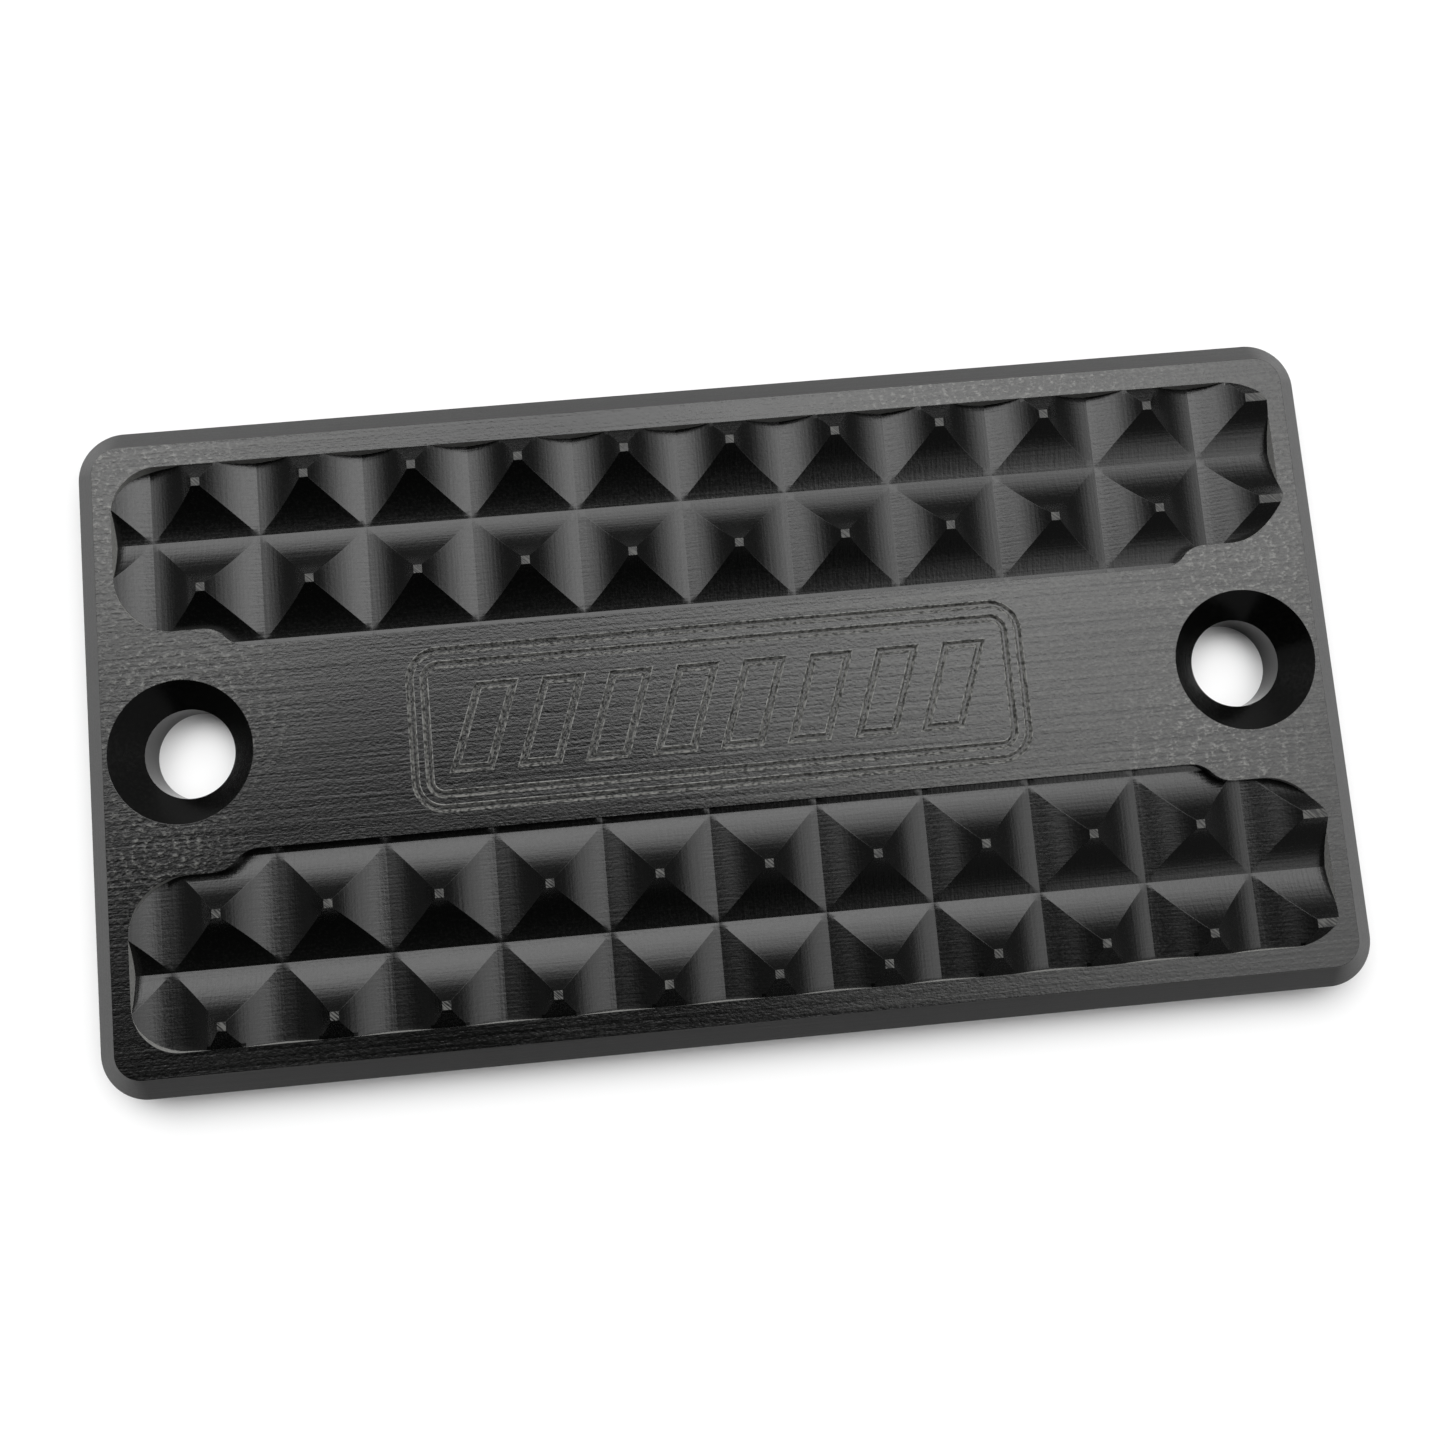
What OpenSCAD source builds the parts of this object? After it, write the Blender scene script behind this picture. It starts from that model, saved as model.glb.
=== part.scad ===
// Milled traction pad: one plate with two bands of pyramid studs cut into it,
// two countersunk screw holes and a lightly engraved panel between the bands.
// Origin: middle of the flat underside. +Z points up, towards the boot.

/* [Plate] */
// Length of the plate, along X
plate_l = 120; // [116:0.5:130]
// Width of the plate, along Y
plate_w = 63.5; // [62:0.5:70]
// Height of the flat top surface (the land) above the underside
land_h = 5.9; // [5:0.05:8]
// Radius of the plate's corners, seen from above
corner_r = 4.5; // [4:0.1:8]
// Width of the chamfer round the top edge
chamfer_w = 2.0; // [0.5:0.1:2.2]
// Depth of the chamfer round the top edge
chamfer_d = 1.85; // [0.5:0.05:2.5]

/* [Screw holes] */
// Distance between the two hole centres
hole_spacing = 101.6; // [96:0.1:104]
// Diameter of the through holes
hole_d = 8.56; // [5:0.02:9]
// Diameter of the countersinks at the land
sink_d = 13.6; // [11:0.1:14]
// Full angle of the countersinks, in degrees
sink_angle = 90; // [82:1:100]

/* [Studs] */
// Distance from one stud to the next, both ways
stud_pitch = 10.2; // [9.8:0.02:10.4]
// Width of the flat square on each stud's tip
tip_flat = 0.8; // [0.6:0.1:1.6]
// Height of the stud tips above the land
tip_rise = 1.1; // [0.5:0.05:1.5]
// Depth of the grooves between the studs, from tip to groove bottom
groove_d = 2.35; // [1.8:0.05:2.6]
// Slope of a groove's walls where they meet at its bottom, in degrees
groove_slope = 8; // [4:1:12]
// Shift of the stud grid along X from the middle of the plate
grid_shift = -1.92; // [-2.2:0.02:-1.6]

/* [Stud bands] */
// Distance from the middle of the plate to the ends of the bands
band_end = 56.3; // [55.5:0.1:57]
// Distance from the middle line to the outer long border
band_outer = 27.6; // [27:0.1:28.5]
// Distance from the middle line to the inner long border
band_inner = 9.6; // [9.2:0.1:10]
// Distance from the middle line to the inner border beside the holes
band_notch = 11.5; // [11:0.1:12]
// Where the step between the two inner borders starts, along X
step_start = 44; // [40:0.5:45]
// Length of that step
step_l = 4.2; // [3.5:0.1:5]
// Corner radius at the outer borders
outer_r = 4.5; // [3:0.1:6]
// Corner radius beside the holes
notch_r = 5.5; // [4:0.1:6]

/* [Engraved panel] */
// Length of the engraved frame
frame_l = 58.8; // [50:0.2:64]
// Width of the engraved frame
frame_w = 15.6; // [14:0.2:16.4]
// Outer corner radius of the engraved frame
frame_r = 3.0; // [2.5:0.1:4]
// Width of every engraved line
line_w = 0.6; // [0.3:0.05:0.7]
// Depth of every engraved line
line_d = 0.3; // [0.1:0.05:0.4]
// Distance between the two lines of the frame
frame_gap = 1.35; // [1:0.05:1.6]
// Number of slanted bars inside the frame
bar_count = 8; // [4:1:10]

/* [Hidden] */

$fn = 96;
over = 1; // how far a cutting tool runs past the face that it cuts
tip_h = land_h + tip_rise;
rows_x = 11; // grooves that run across the plate
rows_y = 2; // grooves that run along the plate, on each side of the middle line
foot_step = 0.02; // how far below the land the outer slope ends
// Each groove's walls are two equal arcs. They meet at the groove's bottom at groove_slope,
// and end at the tips, so both the width and the depth of the groove hold.
groove_half = (stud_pitch - tip_flat) / 2;
tip_slope = 2 * atan(groove_d / groove_half) - groove_slope;
groove_r = groove_half / (sin(tip_slope) - sin(groove_slope));
groove_shift = groove_r * sin(groove_slope);
groove_axis_z = tip_h - groove_d + groove_r * cos(groove_slope);
sink_h = (sink_d - hole_d) / 2 / tan(sink_angle / 2);
arc_step = 9; // degrees between neighbouring points of an outline's arc
bar_room = 1.7; // clear space from the inner frame line to the bars' long-side ends
end_room = 1.9; // clear space from the inner frame line to each end of the row of bars
bar_fill = 0.62; // share of its pitch that a bar fills
bar_lean = 0.35; // sideways shift of a bar for each millimetre along Y
bar_h = frame_w - 2 * (frame_gap + line_w + bar_room);
bar_pitch = (frame_l - 2 * (frame_gap + line_w + end_room)) / bar_count;
bar_w = bar_pitch * bar_fill;

// Points of an arc about (cx, cy) from angle a0 to angle a1
function arc(cx, cy, r, a0, a1) =
    let (n = ceil(abs(a1 - a0) / arc_step))
    [for (i = [0 : n]) let (a = a0 + (a1 - a0) * i / n) [cx + r * cos(a), cy + r * sin(a)]];

function mirrored_x(points) = [for (i = [len(points) - 1 : -1 : 0]) [-points[i][0], points[i][1]]];

// Right half of the outline of the band on the +Y side, from the inner to the outer border.
// The step is two equal arcs that meet half way.
step_rise = band_notch - band_inner;
step_angle = 2 * atan(step_rise / step_l);
step_r = step_l / (2 * sin(step_angle));
band_half = concat(
    arc(step_start, band_inner + step_r, step_r, -90, step_angle - 90),
    arc(step_start + step_l, band_notch - step_r, step_r, 90 + step_angle, 90),
    arc(band_end - notch_r, band_notch + notch_r, notch_r, -90, 0),
    arc(band_end - outer_r, band_outer - outer_r, outer_r, 0, 90)
);

module band_outline() {
    for (side = [0, 1]) mirror([0, side])
        polygon(concat(band_half, mirrored_x(band_half)));
}

// Cross-section of the plate, half the given width each side
module plate_section(half_w) {
    polygon([
        [-half_w, 0], [half_w, 0], [half_w, land_h - chamfer_d],
        [half_w - chamfer_w, land_h], [chamfer_w - half_w, land_h], [-half_w, land_h - chamfer_d]
    ]);
}

module chamfered_plate() {
    straight_l = plate_l - 2 * corner_r;
    straight_w = plate_w - 2 * corner_r;
    rotate([90, 0, 90]) linear_extrude(straight_l, center = true) plate_section(plate_w / 2);
    rotate([90, 0, 0]) linear_extrude(straight_w, center = true) plate_section(plate_l / 2);
    for (x = [-1, 1]) for (y = [-1, 1])
        translate([x * straight_l / 2, y * straight_w / 2]) {
            cylinder(h = land_h - chamfer_d, r = corner_r);
            translate([0, 0, land_h - chamfer_d])
                cylinder(h = chamfer_d, r1 = corner_r, r2 = corner_r - chamfer_w);
        }
}

// One groove along X, with its two walls as arcs
module groove(length) {
    rotate([0, 90, 0]) intersection() {
        translate([0, groove_shift, 0]) cylinder(h = length, r = groove_r, center = true);
        translate([0, -groove_shift, 0]) cylinder(h = length, r = groove_r, center = true);
    }
}

// Slope that runs from the outer tips down to the land at the band's outer border
module outer_slope() {
    start = (rows_y + 0.5) * stud_pitch + tip_flat / 2;
    foot_h = land_h - foot_step;
    rotate([90, 0, 90]) linear_extrude(plate_l, center = true)
        polygon([
            [start, tip_h], [band_outer, foot_h], [plate_w / 2, foot_h],
            [plate_w / 2, tip_h + over], [start, tip_h + over]
        ]);
}

// Grooves cut both ways; what stands between them are the studs
module stud_grooves() {
    for (i = [0 : rows_x - 1])
        translate([grid_shift + (i - (rows_x - 1) / 2) * stud_pitch, 0, groove_axis_z])
            rotate([0, 0, 90]) groove(plate_w);
    for (side = [0, 1]) mirror([0, side]) {
        for (j = [1 : rows_y]) translate([0, j * stud_pitch, groove_axis_z]) groove(plate_l);
        outer_slope();
    }
}

module countersunk_holes() {
    for (side = [-1, 1]) translate([side * hole_spacing / 2, 0, 0]) {
        translate([0, 0, -over]) cylinder(h = land_h + 2 * over, d = hole_d);
        translate([0, 0, land_h - sink_h]) cylinder(h = sink_h, d1 = hole_d, d2 = sink_d);
        translate([0, 0, land_h]) cylinder(h = tip_rise + over, d = sink_d);
    }
}

module rounded_rect(l, w, r) {
    square([l - 2 * r, w], center = true);
    square([l, w - 2 * r], center = true);
    for (x = [-1, 1]) for (y = [-1, 1])
        translate([x * (l / 2 - r), y * (w / 2 - r)]) circle(r);
}

// One line of the frame, the given distance in from its outer edge
module frame_line(inset) {
    difference() {
        rounded_rect(frame_l - 2 * inset, frame_w - 2 * inset, frame_r - inset);
        rounded_rect(frame_l - 2 * (inset + line_w), frame_w - 2 * (inset + line_w), frame_r - inset - line_w);
    }
}

// A slanted bar, drawn smaller all round by the given amount
module slanted_bar(inset) {
    h = bar_h / 2 - inset;
    s = bar_lean * h;
    w = bar_w / 2 - inset * sqrt(1 + pow(bar_lean, 2));
    polygon([[-w - s, -h], [w - s, -h], [w + s, h], [s - w, h]]);
}

module engraving() {
    frame_line(0);
    frame_line(frame_gap);
    for (i = [0 : bar_count - 1])
        translate([(i - (bar_count - 1) / 2) * bar_pitch, 0])
            difference() {
                slanted_bar(0);
                slanted_bar(line_w);
            }
}

module stud_plate() {
    color([0.12, 0.12, 0.12])
    difference() {
        union() {
            chamfered_plate();
            linear_extrude(tip_h) band_outline();
        }
        intersection() {
            stud_grooves();
            linear_extrude(tip_h + over) band_outline();
        }
        countersunk_holes();
        translate([0, 0, land_h - line_d]) linear_extrude(line_d + over) engraving();
    }
}

stud_plate();
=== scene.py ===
import math

import bmesh
import bpy
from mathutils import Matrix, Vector


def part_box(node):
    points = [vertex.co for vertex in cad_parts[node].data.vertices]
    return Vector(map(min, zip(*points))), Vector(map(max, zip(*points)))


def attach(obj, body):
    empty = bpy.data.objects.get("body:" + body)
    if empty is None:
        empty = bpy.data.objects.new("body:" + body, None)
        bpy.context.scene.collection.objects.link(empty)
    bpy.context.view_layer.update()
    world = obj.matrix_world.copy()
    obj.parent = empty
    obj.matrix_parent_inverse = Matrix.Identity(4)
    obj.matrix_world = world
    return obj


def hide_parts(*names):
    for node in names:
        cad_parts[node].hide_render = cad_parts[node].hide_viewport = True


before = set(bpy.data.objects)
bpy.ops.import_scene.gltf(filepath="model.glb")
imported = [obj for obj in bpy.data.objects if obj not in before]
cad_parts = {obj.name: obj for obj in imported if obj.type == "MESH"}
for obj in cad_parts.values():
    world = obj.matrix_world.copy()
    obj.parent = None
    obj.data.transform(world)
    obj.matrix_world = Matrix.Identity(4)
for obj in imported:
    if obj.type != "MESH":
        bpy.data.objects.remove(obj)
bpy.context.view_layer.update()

# ---------------------------------------------------------------- sizes, in millimetres
MM = 0.001
low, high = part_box("stud_plate")
PLATE_L = (high[0] - low[0]) / MM
PLATE_W = (high[1] - low[1]) / MM
TIP_H = (high[2] - low[2]) / MM  # height of the stud tips above the underside
TIP_RISE = 1.1  # stud tips above the flat land
LAND_H = TIP_H - TIP_RISE
CORNER_R = 4.5
CHAMFER_W = 2.0
CHAMFER_D = 1.85
HOLE_SPACING = 101.6
HOLE_R = 4.28
SINK_R = 6.8
SINK_H = SINK_R - HOLE_R  # a 90 degree countersink
PITCH = 10.2
TIP_FLAT = 0.8
GROOVE_D = 2.35
GRID_SHIFT = -1.92
GROOVES_ALONG = 11  # grooves that cross the plate
BAND_END = 56.3
BAND_OUTER = 27.6
BAND_INNER = 9.6
BAND_NOTCH = 11.5
STEP_START = 44.0
STEP_L = 4.2
OUTER_R = 4.5
NOTCH_R = 5.5
FRAME_L = 58.8
FRAME_W = 15.6
FRAME_R = 3.0
FRAME_GAP = 1.35
LINE_W = 0.6
LINE_D = 0.3
LINE_RUN = 0.2  # how far an engraved line's wall leans in, from land to bottom
LIP_W = 0.14  # burr lip along an engraved line
LIP_H = 0.045
LIP_BACK = 0.12  # how far a lip's inner side leans back over the line
LIP_SUNK = 0.02  # how far a lip's base lies below the land
BAR_COUNT = 8

GROOVE_HALF = (PITCH - TIP_FLAT) / 2
GROOVE_SLOPE = math.radians(8)  # slope of the walls where they meet at the groove's bottom
TIP_SLOPE = 2 * math.atan(GROOVE_D / GROOVE_HALF) - GROOVE_SLOPE
GROOVE_R = GROOVE_HALF / (math.sin(TIP_SLOPE) - math.sin(GROOVE_SLOPE))
GROOVE_BOTTOM = TIP_H - GROOVE_D
OUTER_SLOPE = 2.5 * PITCH + TIP_FLAT / 2  # where the slope from the outer tips to the land starts
SLOPE_FOOT = LAND_H - 0.003  # the outer slope ends just below the land, never in its plane
BAR_ROOM = 1.7  # clear space from the inner frame line to the bars' long-side ends
END_ROOM = 1.9  # clear space from the inner frame line to each end of the row of bars
BAR_H = FRAME_W - 2 * (FRAME_GAP + LINE_W + BAR_ROOM)
BAR_PITCH = (FRAME_L - 2 * (FRAME_GAP + LINE_W + END_ROOM)) / BAR_COUNT
BAR_W = 0.62 * BAR_PITCH  # a bar fills this share of its pitch
BAR_LEAN = 0.35  # sideways shift of a bar for each millimetre along Y
INSIDE_Z = 1.0  # a height well inside the plate, where hidden faces of the tools lie
ABOVE_Z = TIP_H + 1.0
CUT_PAST = 1.0  # how far a cutting tool runs past the faces that it cuts
AIR_GROW = 0.002  # how far the air over the studs runs into the border, so no two faces coincide
ARC_STEP = 3.0  # degrees between the points of an arc
SHARP_ANGLE = 14  # faces that meet at more than this many degrees keep a hard edge
EDGE_RADIUS = 0.06
CLOSE = 0.01  # two heights or places nearer than this count as one, when faces are told apart
PANEL_MARGIN = 0.3  # a little more than the burr lips reach past the engraved frame
LIP_EDGE = 0.004  # a face this far off the land belongs to a lip or to an engraved line
FLOOR_SIZE = 20000
FLOOR_CORNER_R = 50
FLOOR_THICKNESS = 2.0

# ---------------------------------------------------------------- colours
BLACK = (0.0012, 0.0013, 0.0012)
DUST = (0.003, 0.003, 0.0027)
# grey of scuffed plastic, also painted on the land as glints and as a sheen
SCUFF_AND_SHEEN = (0.13, 0.13, 0.122)
TIP_GREY = (0.09, 0.09, 0.085)
# painted light: a grey far paler than the black plastic, standing in for light the outer walls don't
# receive
WALL_PAINTED_LIGHT = (0.48, 0.48, 0.46)
LIP_GREY = (0.20, 0.20, 0.19)
PLASTIC_IOR = 1.48
FLOOR_WHITE = (0.92, 0.92, 0.92)
# Where the end mill turned and scuffed the land: centre, half the distance between rings, reach
LAND_RINGS = (
    ((-55, 26, LAND_H), 0.5, 15), ((-50.8, 4, LAND_H), 0.6, 14), ((-53, -9, LAND_H), 0.5, 9),
    ((52, 10, LAND_H), 0.6, 14), ((47, -9, LAND_H), 0.9, 12), ((30, 30, LAND_H), 0.5, 22),
)
# Where the land is lightened by a painted sheen: centre, reach
SHEEN_SPOTS = (((40, 12, LAND_H), 55), ((-54, 26, LAND_H), 32))
WAVE_TURNS = 20  # a wave node of scale 1 turns through this many radians in one unit

# ---------------------------------------------------------------- light and camera
DOME_BASE = 0.13
# Bright parts of the dome: direction, angles in degrees at which they start and end to fade, gain
BRIGHT_PARTS = (
    ((0.0, 0.5, 1.0), 14, 42, 2.4),
    ((0.7, 0.1, 1.5), 8, 40, 2.0),
    ((-0.55, 0.6, 1.4), 6, 38, 2.0),
)
# Dark parts of the dome: the same, with the share of the light that they take away
DARK_PARTS = (
    ((-0.17, -0.25, 1.0), 16, 32, 1.0),
    ((-0.75, -1.0, 0.9), 33, 43, 0.97),
)
CAMERA_PLACE = (-4.23, -14.88, TIP_H + 121.65)
CAMERA_TURN = (6.283, -1.434, -5.178)  # degrees
CAMERA_SENSOR = 36
CAMERA_LENS = 32.46
CAMERA_NEAR = 0.001  # metres


# ---------------------------------------------------------------- outlines
def arc(cx, cy, r, a0, a1):
    count = max(2, math.ceil(abs(a1 - a0) / ARC_STEP))
    angles = [math.radians(a0 + (a1 - a0) * i / count) for i in range(count + 1)]
    return [(cx + r * math.cos(a), cy + r * math.sin(a)) for a in angles]


def rounded_rect(length, width, r):
    x, y = length / 2 - r, width / 2 - r
    corners = ((x, y, 0), (-x, y, 90), (-x, -y, 180), (x, -y, 270))
    return [p for cx, cy, a in corners for p in arc(cx, cy, r, a, a + 90)]


def band_outline(side, grow=0.0):
    """Outline of one stud band, counter-clockwise. side is 1 for +Y and -1 for -Y."""
    rise = BAND_NOTCH - BAND_INNER
    turn = 2 * math.degrees(math.atan(rise / STEP_L))
    step_r = STEP_L / (2 * math.sin(math.radians(turn)))
    end, outer = BAND_END + grow, BAND_OUTER + grow
    inner, notch = BAND_INNER - grow, BAND_NOTCH - grow
    half = arc(STEP_START, inner + step_r, step_r, -90, turn - 90)
    half += arc(STEP_START + STEP_L, notch - step_r, step_r, 90 + turn, 90)[1:]
    half += arc(end - NOTCH_R, notch + NOTCH_R, NOTCH_R, -90, 0)
    half += arc(end - OUTER_R, outer - OUTER_R, OUTER_R, 0, 90)
    points = half + [(-x, y) for x, y in reversed(half)]
    if side < 0:
        points = [(x, -y) for x, y in reversed(points)]
    return points


# ---------------------------------------------------------------- mesh tools
def new_object(name, bm):
    """Makes an object from a bmesh whose coordinates are in millimetres."""
    bmesh.ops.scale(bm, vec=(MM, MM, MM), verts=bm.verts)
    bmesh.ops.recalc_face_normals(bm, faces=bm.faces)
    mesh = bpy.data.meshes.new(name)
    bm.to_mesh(mesh)
    bm.free()
    obj = bpy.data.objects.new(name, mesh)
    bpy.context.scene.collection.objects.link(obj)
    return obj


def loft(bm, loops):
    """Closed solid through loops of equal length, each a list of (x, y, z)."""
    rings = [[bm.verts.new(p) for p in loop] for loop in loops]
    for a, b in zip(rings, rings[1:]):
        for i in range(len(a)):
            j = (i + 1) % len(a)
            bm.faces.new((a[i], a[j], b[j], b[i]))
    bm.faces.new(list(reversed(rings[0])))
    bm.faces.new(rings[-1])


def at_height(points, z):
    return [(x, y, z) for x, y in points]


def prism(bm, points, z0, z1):
    loft(bm, [at_height(points, z0), at_height(points, z1)])


def boolean(target, tool, operation):
    mod = target.modifiers.new("cut", "BOOLEAN")
    mod.operation = operation
    mod.solver = "EXACT"
    mod.object = tool
    graph = bpy.context.evaluated_depsgraph_get()
    mesh = bpy.data.meshes.new_from_object(target.evaluated_get(graph))
    target.modifiers.clear()
    old = target.data
    target.data = mesh
    bpy.data.meshes.remove(old)
    bpy.data.objects.remove(tool)


# ---------------------------------------------------------------- the plate
def chamfered_plate():
    bm = bmesh.new()
    outer = rounded_rect(PLATE_L, PLATE_W, CORNER_R)
    inner = rounded_rect(PLATE_L - 2 * CHAMFER_W, PLATE_W - 2 * CHAMFER_W, CORNER_R - CHAMFER_W)
    loft(bm, [at_height(outer, 0), at_height(outer, LAND_H - CHAMFER_D), at_height(inner, LAND_H)])
    return new_object("stud_plate_body", bm)


def wall_points(steps=12):
    """Distance from the groove's centre line and height, at equal turns of the wall's arc."""
    points = []
    for i in range(steps + 1):
        turn = GROOVE_SLOPE + (TIP_SLOPE - GROOVE_SLOPE) * i / steps
        distance = GROOVE_R * (math.sin(turn) - math.sin(GROOVE_SLOPE))
        rise = GROOVE_R * (math.cos(GROOVE_SLOPE) - math.cos(turn))
        points.append((distance, round(GROOVE_BOTTOM + rise, 5)))
    return points


def wall_height(distance):
    """Height of a groove's wall at a distance from its centre line."""
    if distance >= GROOVE_HALF:
        return TIP_H
    along = distance + GROOVE_R * math.sin(GROOVE_SLOPE)
    return GROOVE_BOTTOM + GROOVE_R * math.cos(GROOVE_SLOPE) - math.sqrt(GROOVE_R ** 2 - along ** 2)


def groove_lines(centres, first, last):
    """The stud grid's lines and their heights, as a sorted list of (place, height)."""
    lines = {round(c + side * d, 5): h for c in centres for d, h in wall_points() for side in (-1, 1)}
    kept = {v: h for v, h in lines.items() if first < v < last}
    for v in (first, last):
        kept[v] = round(wall_height(min(abs(v - c) for c in centres)), 5)
    return sorted(kept.items())


def air_over_studs(side):
    """The space above one band's studs, as a closed solid.
    Each height is the lower of the two grooves'. Where both are equal a crease runs through the
    grid's quads, and those are split along it."""
    across = [GRID_SHIFT + (i - (GROOVES_ALONG - 1) / 2) * PITCH for i in range(GROOVES_ALONG)]
    along = [PITCH, 2 * PITCH]
    xs = groove_lines(across, -BAND_END - CUT_PAST, BAND_END + CUT_PAST)
    ys = groove_lines(along, BAND_INNER - CUT_PAST, OUTER_SLOPE)
    fall = (BAND_OUTER - OUTER_SLOPE) / (TIP_H - SLOPE_FOOT)
    slope = sorted({h for d, h in wall_points() if SLOPE_FOOT < h < TIP_H} | {SLOPE_FOOT}, reverse=True)
    ys += [(OUTER_SLOPE + fall * (TIP_H - h), h) for h in slope]
    ys.append((BAND_OUTER + CUT_PAST, SLOPE_FOOT))
    bm = bmesh.new()
    grid = [[bm.verts.new((x, side * y, min(hx, hy))) for y, hy in ys] for x, hx in xs]
    ends_x, ends_y = (xs[0][0], xs[-1][0]), (ys[0][0], ys[-1][0])
    top = [[bm.verts.new((x, side * y, ABOVE_Z)) for y in ends_y] for x in ends_x]
    for i in range(len(xs) - 1):
        for j in range(len(ys) - 1):
            a, b, c, d = grid[i][j], grid[i + 1][j], grid[i + 1][j + 1], grid[i][j + 1]
            (hx0, hx1), (hy0, hy1) = (xs[i][1], xs[i + 1][1]), (ys[j][1], ys[j + 1][1])
            if hx0 == hy0 and hx1 == hy1 and hx0 != hx1:
                bm.faces.new((a, b, c))
                bm.faces.new((a, c, d))
            elif hx1 == hy0 and hx0 == hy1 and hx0 != hx1:
                bm.faces.new((a, b, d))
                bm.faces.new((b, c, d))
            else:
                bm.faces.new((a, b, c, d))
    bm.faces.new([row[0] for row in grid] + [top[1][0], top[0][0]])
    bm.faces.new([row[-1] for row in reversed(grid)] + [top[0][1], top[1][1]])
    bm.faces.new(list(reversed(grid[0])) + [top[0][0], top[0][1]])
    bm.faces.new(grid[-1] + [top[1][1], top[1][0]])
    bm.faces.new((top[0][0], top[1][0], top[1][1], top[0][1]))
    return new_object("air", bm)


def hole_tool():
    bm = bmesh.new()
    full = [math.radians(ARC_STEP * i) for i in range(round(360 / ARC_STEP))]
    levels = (
        (-CUT_PAST, HOLE_R), (LAND_H - SINK_H, HOLE_R), (ABOVE_Z, HOLE_R + SINK_H + ABOVE_Z - LAND_H),
    )
    for side in (-1, 1):
        x0 = side * HOLE_SPACING / 2
        loft(bm, [[(x0 + r * math.cos(a), r * math.sin(a), z) for a in full] for z, r in levels])
    return new_object("holes", bm)


def swept_ring(bm, outline, section):
    """A closed ring. outline(inset) gives its plan; section is its cross-section as (inset, height)."""
    rings = [[bm.verts.new(p) for p in at_height(outline(inset), z)] for inset, z in section]
    for a, b in zip(rings, rings[1:] + rings[:1]):
        for i in range(len(a)):
            j = (i + 1) % len(a)
            bm.faces.new((a[i], a[j], b[j], b[i]))


def frame_outline(start):
    def outline(inset):
        cut = start + inset
        return rounded_rect(FRAME_L - 2 * cut, FRAME_W - 2 * cut, FRAME_R - cut)
    return outline


def bar_outline(x0):
    def outline(inset):
        h = BAR_H / 2 - inset
        w = BAR_W / 2 - inset * math.sqrt(1 + BAR_LEAN ** 2)
        s = BAR_LEAN * h
        return [(x0 - w - s, -h), (x0 + w - s, -h), (x0 + w + s, h), (x0 - w + s, h)]
    return outline


def engraved_outlines():
    outlines = [frame_outline(0), frame_outline(FRAME_GAP)]
    for i in range(BAR_COUNT):
        outlines.append(bar_outline((i - (BAR_COUNT - 1) / 2) * BAR_PITCH))
    return outlines


def engraving_tool():
    """Lines with leaning walls. The walls go on above the land, so nothing lies in its plane."""
    bm = bmesh.new()
    low, high = LAND_H - LINE_D, LAND_H + LINE_D
    section = ((-LINE_RUN, high), (LINE_RUN, low), (LINE_W - LINE_RUN, low), (LINE_W + LINE_RUN, high))
    for outline in engraved_outlines():
        swept_ring(bm, outline, section)
    return new_object("engraving", bm)


def lips():
    """Low burrs along both edges of each engraved line."""
    bm = bmesh.new()
    base, crest = LAND_H - LIP_SUNK, LAND_H + LIP_H
    for outline in engraved_outlines():
        for inside, outside in ((0.0, -LIP_W), (LINE_W, LINE_W + LIP_W)):
            lean = LIP_BACK if outside < inside else -LIP_BACK
            swept_ring(bm, outline, ((outside, base), (inside, crest), (inside + lean, base)))
    return new_object("lips", bm)


def make_plate():
    plate = chamfered_plate()
    for side in (1, -1):
        bm = bmesh.new()
        prism(bm, band_outline(side), INSIDE_Z, TIP_H + CUT_PAST / 2)
        boolean(plate, new_object("band", bm), "UNION")
        air = air_over_studs(side)
        bm = bmesh.new()
        prism(bm, band_outline(side, grow=AIR_GROW), INSIDE_Z, ABOVE_Z + CUT_PAST)
        boolean(air, new_object("band", bm), "INTERSECT")
        boolean(plate, air, "DIFFERENCE")
    boolean(plate, hole_tool(), "DIFFERENCE")
    boolean(plate, lips(), "UNION")
    boolean(plate, engraving_tool(), "DIFFERENCE")
    return plate


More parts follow.
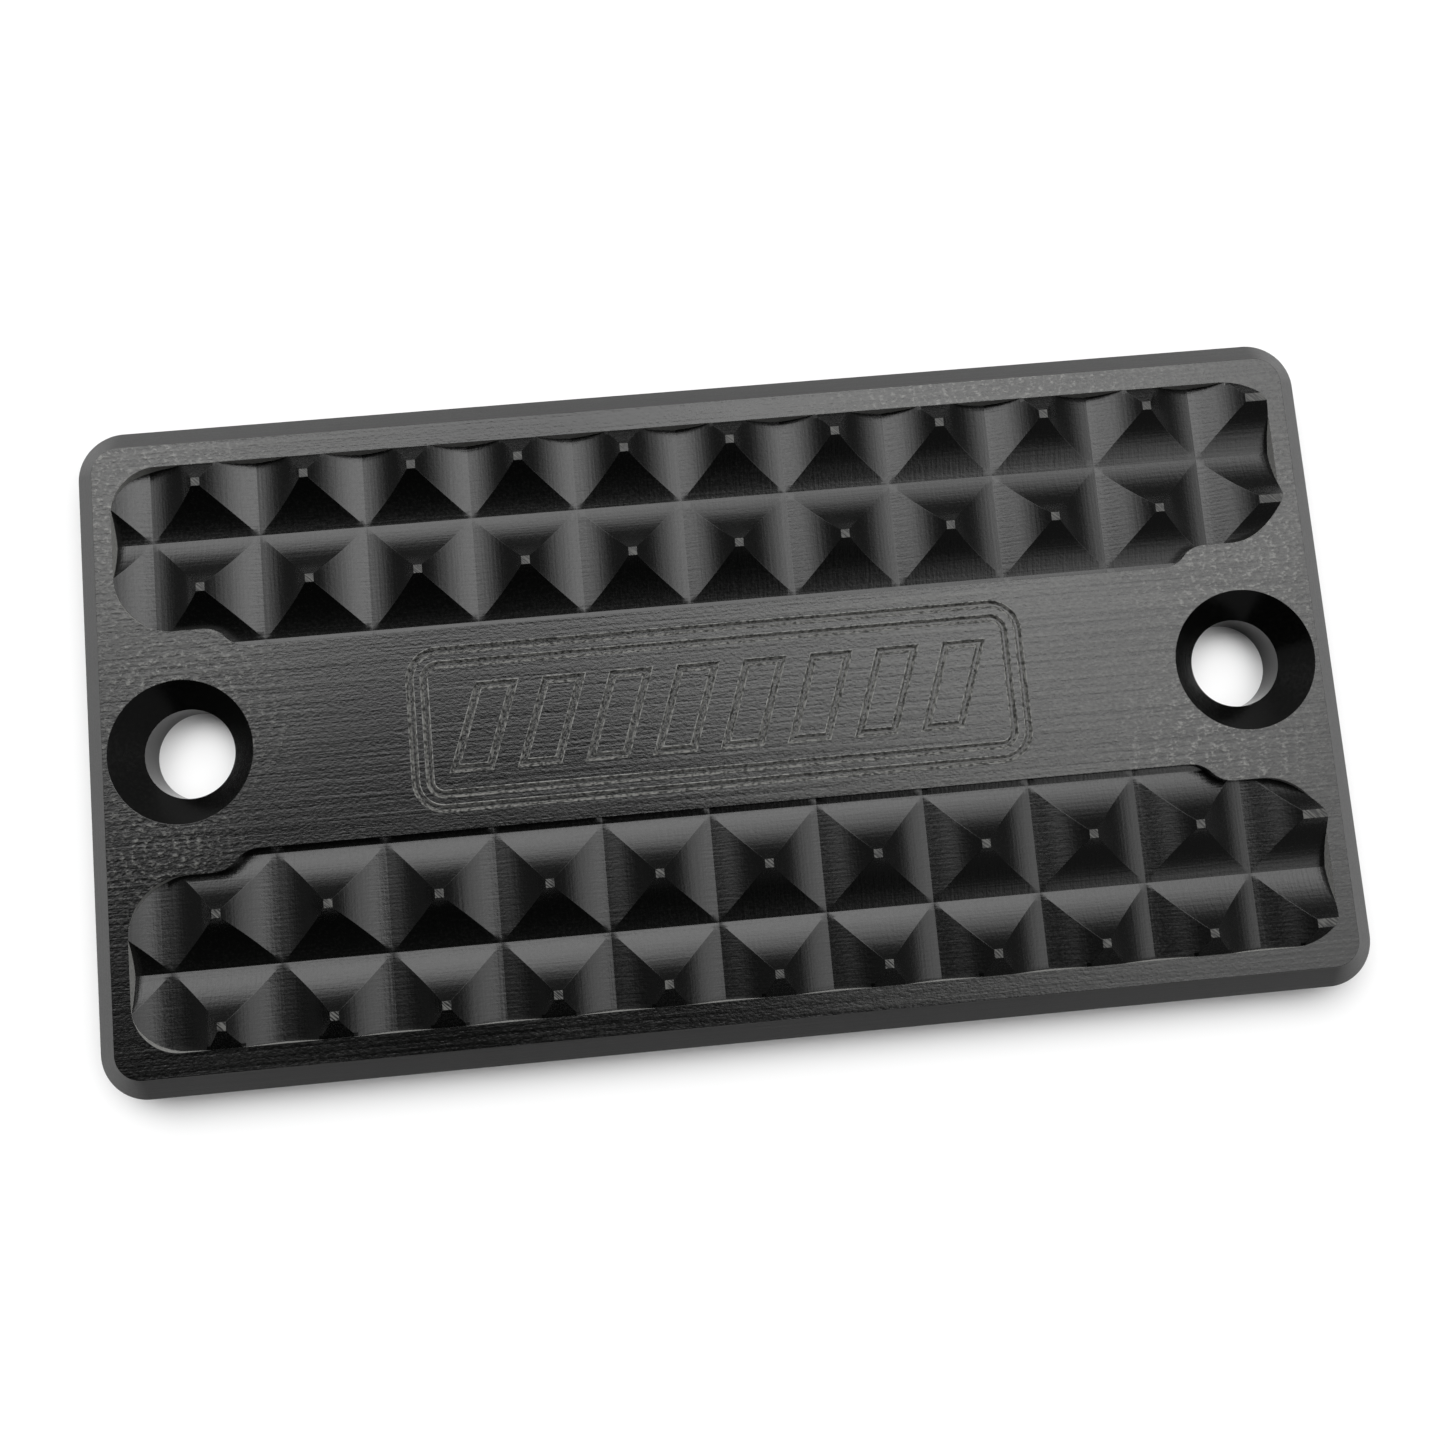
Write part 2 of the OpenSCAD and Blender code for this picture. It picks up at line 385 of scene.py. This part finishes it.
# ---------------------------------------------------------------- materials
class Shader:
    """A Principled material with short calls for its nodes. Lengths are in millimetres."""

    def __init__(self, name, color, roughness):
        self.material = bpy.data.materials.new(name)
        self.material.use_nodes = True
        self.tree = self.material.node_tree
        self.bsdf = self.tree.nodes["Principled BSDF"]
        self.bsdf.inputs["Base Color"].default_value = (*color, 1)
        self.bsdf.inputs["Roughness"].default_value = roughness
        self.bsdf.inputs["IOR"].default_value = PLASTIC_IOR
        self.coords = self.node("ShaderNodeTexCoord").outputs["Object"]

    def node(self, kind, links=(), **settings):
        made = self.tree.nodes.new(kind)
        for key, value in settings.items():
            setattr(made, key, value)
        for socket, value in dict(links).items():
            if isinstance(value, bpy.types.NodeSocket):
                self.tree.links.new(value, made.inputs[socket])
            else:
                made.inputs[socket].default_value = value
        return made

    def stretched(self, scale, turn=0.0):
        """Object coordinates in millimetres, times a scale for each axis, after a turn about Z."""
        turned = self.node("ShaderNodeMapping", {"Vector": self.coords, "Rotation": (0, 0, turn)})
        per_mm = [v / MM for v in scale]
        return self.node("ShaderNodeMapping", {"Vector": turned.outputs[0], "Scale": per_mm}).outputs[0]

    def noise(self, scale, detail=3.0, turn=0.0):
        links = {"Vector": self.stretched(scale, turn), "Scale": 1.0, "Detail": detail}
        return self.node("ShaderNodeTexNoise", links).outputs["Fac"]

    def swirl(self, centre, half_gap, wobble):
        """Rings about a point, twice half_gap apart and bent by noise."""
        back = [-c * MM for c in centre]
        moved = self.node("ShaderNodeMapping", {"Vector": self.coords, "Location": back}).outputs[0]
        scale = 1 / (half_gap * MM) / WAVE_TURNS * math.pi
        links = {"Vector": moved, "Scale": scale, "Distortion": wobble, "Detail": 2.0, "Detail Scale": 2.0}
        return self.node("ShaderNodeTexWave", links, wave_type="RINGS", rings_direction="Z").outputs["Fac"]

    def near(self, centre, reach):
        """1 at a point, fading to 0 at a distance from it."""
        links = {0: self.coords, 1: [c * MM for c in centre]}
        distance = self.node("ShaderNodeVectorMath", links, operation="DISTANCE").outputs["Value"]
        return self.spread(distance, 0.3 * reach * MM, reach * MM, 1, 0)

    def spread(self, value, low_in, high_in, low_out, high_out):
        links = {0: value, 1: low_in, 2: high_in, 3: low_out, 4: high_out}
        return self.node("ShaderNodeMapRange", links).outputs[0]

    def math(self, operation, a, b):
        return self.node("ShaderNodeMath", {0: a, 1: b}, operation=operation).outputs[0]

    def total(self, *values):
        result = values[0]
        for value in values[1:]:
            result = self.math("ADD", result, value)
        return result

    def set(self, socket, value):
        self.tree.links.new(value, self.bsdf.inputs[socket])

    def shade_color(self, value, dark, light):
        mix = self.node("ShaderNodeMix", {0: value, 6: (*dark, 1), 7: (*light, 1)}, data_type="RGBA")
        self.set("Base Color", mix.outputs[2])

    def bump(self, height, depth, edge=EDGE_RADIUS):
        """Bump of the given depth in millimetres, over slightly softened edges."""
        bevel = self.node("ShaderNodeBevel", {"Radius": edge * MM}, samples=6)
        links = {"Height": height, "Distance": depth * MM, "Strength": 1.0, "Normal": bevel.outputs[0]}
        self.set("Normal", self.node("ShaderNodeBump", links).outputs[0])


def land_material():
    """Face-milled top: grain, long faint lines, cutter rings in a few places, light specks in the scuffed
    parts that are partly the scuffs' own grey and partly painted glints, and broad grey areas of painted
    sheen.
    """
    s = Shader("milled_land", BLACK, 0.4)
    grain = s.noise((2.8, 4.6, 4), detail=4)
    lines = s.noise((0.035, 2.6, 1), detail=4)
    patches = s.noise((0.05, 0.14, 0.1), detail=3)
    rings = [
        s.math("MULTIPLY", s.swirl(centre, half_gap, 2.0), s.near(centre, reach))
        for centre, half_gap, reach in LAND_RINGS
    ]
    scuffed = s.total(*rings)
    sheen_areas = s.total(*(s.near(centre, reach) for centre, reach in SHEEN_SPOTS))
    # painted sheen: the land greyed in broad areas, standing in for light that it catches
    painted_sheen = s.math("MULTIPLY", s.spread(s.total(grain, lines), 0.75, 1.25, 0, 0.42), sheen_areas)
    wear = s.total(s.spread(patches, 0.35, 0.7, 0, 0.06), s.math("MULTIPLY", scuffed, 0.9))
    # light specks in the scuffed and patchy parts of the land: partly the scuffs' own grey, partly painted
    # glints
    scuff_glint_specks = s.math("MULTIPLY", s.spread(grain, 0.5, 0.7, 0, 1), wear)
    s.shade_color(s.total(scuff_glint_specks, painted_sheen, s.spread(lines, 0.45, 0.9, 0, 0.03)), BLACK, SCUFF_AND_SHEEN)
    s.set("Roughness", s.spread(s.total(grain, lines, patches), 1.0, 2.0, 0.14, 0.3))
    s.bump(s.total(grain, lines, s.math("MULTIPLY", scuffed, 0.25)), 0.026)
    return s.material


def groove_material():
    """Ball-milled grooves: smooth, with faint lines along the cut in both directions."""
    s = Shader("milled_groove", BLACK, 0.34)
    grain = s.noise((3.6, 3.6, 3.6), detail=4)
    across = s.noise((4, 0.12, 1), detail=2)
    along = s.noise((0.12, 4, 1), detail=2)
    s.set("Roughness", s.spread(grain, 0.3, 0.8, 0.22, 0.32))
    s.shade_color(s.spread(grain, 0.55, 0.85, 0, 1), BLACK, DUST)
    s.bump(s.total(grain, across, along), 0.012)
    return s.material


def tip_material():
    """Stud tips: light grey, crossed by slanted scratches."""
    s = Shader("stud_tip", SCUFF_AND_SHEEN, 0.5)
    hatch = s.noise((0.6, 7, 1), detail=1, turn=math.radians(45))
    s.set("Roughness", s.spread(hatch, 0.4, 0.6, 0.35, 0.7))
    s.shade_color(s.spread(hatch, 0.45, 0.6, 0, 1), BLACK, TIP_GREY)
    s.bump(hatch, 0.05)
    return s.material


def edge_material():
    """Chamfer and sides: lines along the edge from the chamfer cutter, and a fine grain."""
    s = Shader("cut_edge", BLACK, 0.42)
    grain = s.noise((6, 6, 6), detail=3)
    levels = s.noise((0.05, 0.05, 7), detail=2)
    s.set("Roughness", s.spread(grain, 0.3, 0.8, 0.28, 0.42))
    s.shade_color(s.spread(grain, 0.4, 0.8, 0, 1), BLACK, DUST)
    s.bump(s.total(grain, levels), 0.008)
    return s.material


def wall_material():
    """The bands' outer walls, painted a light grey that stands in for light they don't get: painted light,
    not the plastic's own colour.
    """
    s = Shader("painted_light_wall", BLACK, 0.6)
    grain = s.noise((3, 3, 8), detail=4)
    # Painted light: the walls' light grey stands in for light that falls on them, not for a colour of the
    # plastic.
    s.shade_color(s.spread(grain, 0.3, 0.7, 0.5, 1), BLACK, WALL_PAINTED_LIGHT)
    s.bump(grain, 0.03)
    return s.material


def lip_material():
    """Burr lips along the engraved lines: torn plastic, broken into light and dark bits."""
    s = Shader("burr_lip", BLACK, 0.5)
    grain = s.noise((3, 3, 3), detail=3)
    s.shade_color(s.spread(grain, 0.38, 0.6, 0.1, 1), BLACK, LIP_GREY)
    s.bump(grain, 0.03)
    return s.material


def bore_material():
    """Countersinks and holes: turned smooth, with rings round the axis."""
    s = Shader("bored_hole", BLACK, 0.3)
    grain = s.noise((3, 3, 3), detail=3)
    levels = s.noise((0.1, 0.1, 4), detail=2)
    s.set("Roughness", s.spread(grain, 0.3, 0.8, 0.14, 0.24))
    s.shade_color(s.spread(grain, 0.4, 0.8, 0, 1), BLACK, DUST)
    s.bump(s.total(grain, levels), 0.004)
    return s.material


LAND, GROOVE, TIP, EDGE, BORE, WALL, LIP = range(7)


def zone(center, normal):
    """Which material a face of the plate takes, from its middle in millimetres and its normal."""
    x, y, z = center
    flat = normal.z > 0.99
    if z > TIP_H - CLOSE:
        return TIP
    if math.hypot(abs(x) - HOLE_SPACING / 2, y) < SINK_R + CLOSE and z < LAND_H - CLOSE:
        return BORE
    in_panel = abs(x) < FRAME_L / 2 + PANEL_MARGIN and abs(y) < FRAME_W / 2 + PANEL_MARGIN
    if in_panel and z > LAND_H - LINE_D - CLOSE:
        off_land = abs(z - LAND_H) > LIP_EDGE
        return LIP if off_land and not flat else LAND
    in_band = BAND_INNER - CLOSE < abs(y) < BAND_OUTER + CLOSE and abs(x) < BAND_END + CLOSE
    on_land = abs(z - LAND_H) <= 3 * CLOSE and normal.z >= 0.999
    if in_band and z > GROOVE_BOTTOM - CLOSE and not on_land:
        outer = abs(y) > 2 * PITCH or abs(x) > STEP_START + STEP_L
        return WALL if outer and normal.z < 0.1 and z < LAND_H else GROOVE
    return LAND if flat else EDGE


def finish_plate(plate):
    mesh = plate.data
    mesh.materials.clear()
    makers = (
        land_material, groove_material, tip_material, edge_material,
        bore_material, wall_material, lip_material,
    )
    for make in makers:  # in the order of the zones' numbers
        mesh.materials.append(make())
    for face in mesh.polygons:
        face.material_index = zone(face.center / MM, face.normal)
        face.use_smooth = True
    mesh.set_sharp_from_angle(angle=math.radians(SHARP_ANGLE))


plate = make_plate()
finish_plate(plate)
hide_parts("stud_plate")
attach(plate, "root")


# ---------------------------------------------------------------- floor, light, camera
def make_floor():
    bm = bmesh.new()
    prism(bm, rounded_rect(FLOOR_SIZE, FLOOR_SIZE, FLOOR_CORNER_R), -FLOOR_THICKNESS, 0.0)
    floor = new_object("floor", bm)
    material = bpy.data.materials.new("pale_floor")
    material.use_nodes = True
    shader = material.node_tree.nodes["Principled BSDF"]
    shader.inputs["Base Color"].default_value = (*FLOOR_WHITE, 1)
    shader.inputs["Roughness"].default_value = 0.8
    floor.data.materials.append(material)


def make_studio(base, lobes, shade):
    """A soft studio dome: an even base, brighter within the lobes and darker within the shade."""
    world = bpy.data.worlds.new("studio")
    bpy.context.scene.world = world
    world.use_nodes = True
    tree = world.node_tree
    direction = tree.nodes.new("ShaderNodeTexCoord").outputs["Generated"]

    def math_node(operation, a, b):
        made = tree.nodes.new("ShaderNodeMath")
        made.operation = operation
        for socket, value in zip(made.inputs, (a, b)):
            if isinstance(value, bpy.types.NodeSocket):
                tree.links.new(value, socket)
            else:
                socket.default_value = value
        return made.outputs[0]

    def lobe(towards, inner, outer):
        dot = tree.nodes.new("ShaderNodeVectorMath")
        dot.operation = "DOT_PRODUCT"
        tree.links.new(direction, dot.inputs[0])
        dot.inputs[1].default_value = Vector(towards).normalized()
        soft = tree.nodes.new("ShaderNodeMapRange")
        soft.interpolation_type = "SMOOTHSTEP"
        tree.links.new(dot.outputs["Value"], soft.inputs[0])
        soft.inputs[1].default_value = math.cos(math.radians(outer))
        soft.inputs[2].default_value = math.cos(math.radians(inner))
        return soft.outputs[0]

    radiance = base
    for towards, inner, outer, gain in lobes:
        radiance = math_node("ADD", math_node("MULTIPLY", lobe(towards, inner, outer), gain), radiance)
    for towards, inner, outer, depth in shade:
        left = math_node("SUBTRACT", 1.0, math_node("MULTIPLY", lobe(towards, inner, outer), depth))
        radiance = math_node("MULTIPLY", radiance, left)
    background = tree.nodes["Background"]
    background.inputs["Color"].default_value = (1, 1, 1, 1)
    tree.links.new(radiance, background.inputs["Strength"])


make_floor()
make_studio(DOME_BASE, BRIGHT_PARTS, DARK_PARTS)

cam_data = bpy.data.cameras.new("camera")
cam_data.sensor_width = CAMERA_SENSOR
cam_data.lens = CAMERA_LENS
cam_data.clip_start = CAMERA_NEAR
camera = bpy.data.objects.new("camera", cam_data)
camera.location = [v * MM for v in CAMERA_PLACE]
camera.rotation_euler = [math.radians(a) for a in CAMERA_TURN]
bpy.context.scene.collection.objects.link(camera)
bpy.context.scene.camera = camera
bpy.context.scene.view_settings.view_transform = "Standard"
